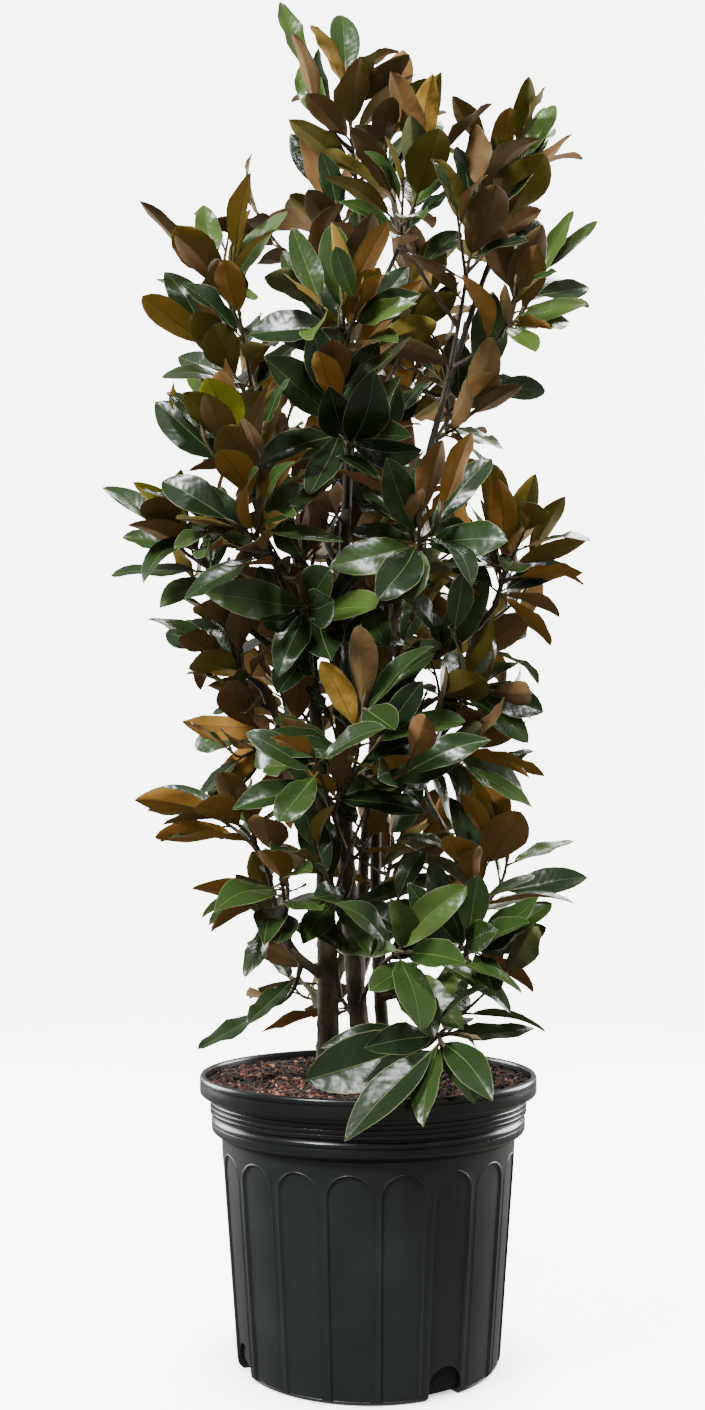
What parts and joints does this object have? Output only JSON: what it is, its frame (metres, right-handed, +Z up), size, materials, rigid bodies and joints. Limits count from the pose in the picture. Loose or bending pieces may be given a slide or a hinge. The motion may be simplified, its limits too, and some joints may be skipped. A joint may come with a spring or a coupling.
{
  "type": "potted little gem magnolia",
  "caption": "Upright evergreen magnolia with glossy leaves, rusty brown beneath, on slim stems rising from bark mix in a fluted round nursery pot that stands on its flat underside",
  "frame": {"origin": "centre of the pot's flat underside, on the ground", "axes": "+Z up along the plant, -Y the front that the picture shows, +X to the right in that view"},
  "size_m": [0.6598, 0.5867, 1.7836],
  "materials": {
    "pot": "moulded black plastic with a soft sheen",
    "mix": "loose reddish-brown bark chips",
    "bark": "smooth grey-brown bark with scars",
    "foliage": "leathery leaves, glossy green above and felted rusty brown beneath"
  },
  "bodies": {
    "root": {"pot": "pot", "potting_mix": "mix", "stem_main": "bark", "stem_left": "bark", "stem_right": "bark", "stem_back": "bark", "bough_left_low": "bark", "bough_left_mid": "bark", "bough_left_high": "bark", "bough_front_left": "bark", "bough_front_low": "bark", "bough_right_low": "bark", "bough_right_fan": "bark", "bough_right_high": "bark", "bough_front_mid": "bark", "bough_front_high": "bark", "bough_back_low": "bark", "bough_back_left": "bark", "bough_back_right": "bark", "bough_back_high": "bark", "leaves_top": "foliage", "leaves_top_right": "foliage", "leaves_top_left": "foliage", "leaves_top_back": "foliage", "leaves_right_leader_tip": "foliage", "leaves_right_leader_inner": "foliage", "leaves_right_leader_outer": "foliage", "leaves_right_upper": "foliage", "leaves_left_leader_tip": "foliage", "leaves_left_leader_outer": "foliage", "leaves_left_inner": "foliage", "leaves_front_high": "foliage", "leaves_front_centre": "foliage", "leaves_front_left_upper": "foliage", "leaves_front_left_lower": "foliage", "leaves_left_edge": "foliage", "leaves_front_right_upper": "foliage", "leaves_right_edge": "foliage", "leaves_left_mid": "foliage", "leaves_left_mid_low": "foliage", "leaves_front_mid_left": "foliage", "leaves_front_mid": "foliage", "leaves_right_mid": "foliage", "leaves_right_mid_low": "foliage", "leaves_front_lower": "foliage", "leaves_front_lower_left": "foliage", "leaves_left_low": "foliage", "leaves_left_low_front": "foliage", "leaves_left_lowest": "foliage", "leaves_right_low": "foliage", "leaves_right_low_upright": "foliage", "leaves_front_low": "foliage", "leaves_front_lowest": "foliage", "leaves_back_top": "foliage", "leaves_back_high": "foliage", "leaves_back_mid_left": "foliage", "leaves_back_centre": "foliage", "leaves_back_right": "foliage", "leaves_back_low": "foliage", "leaves_back_lowest": "foliage"}
  },
  "joints": []
}
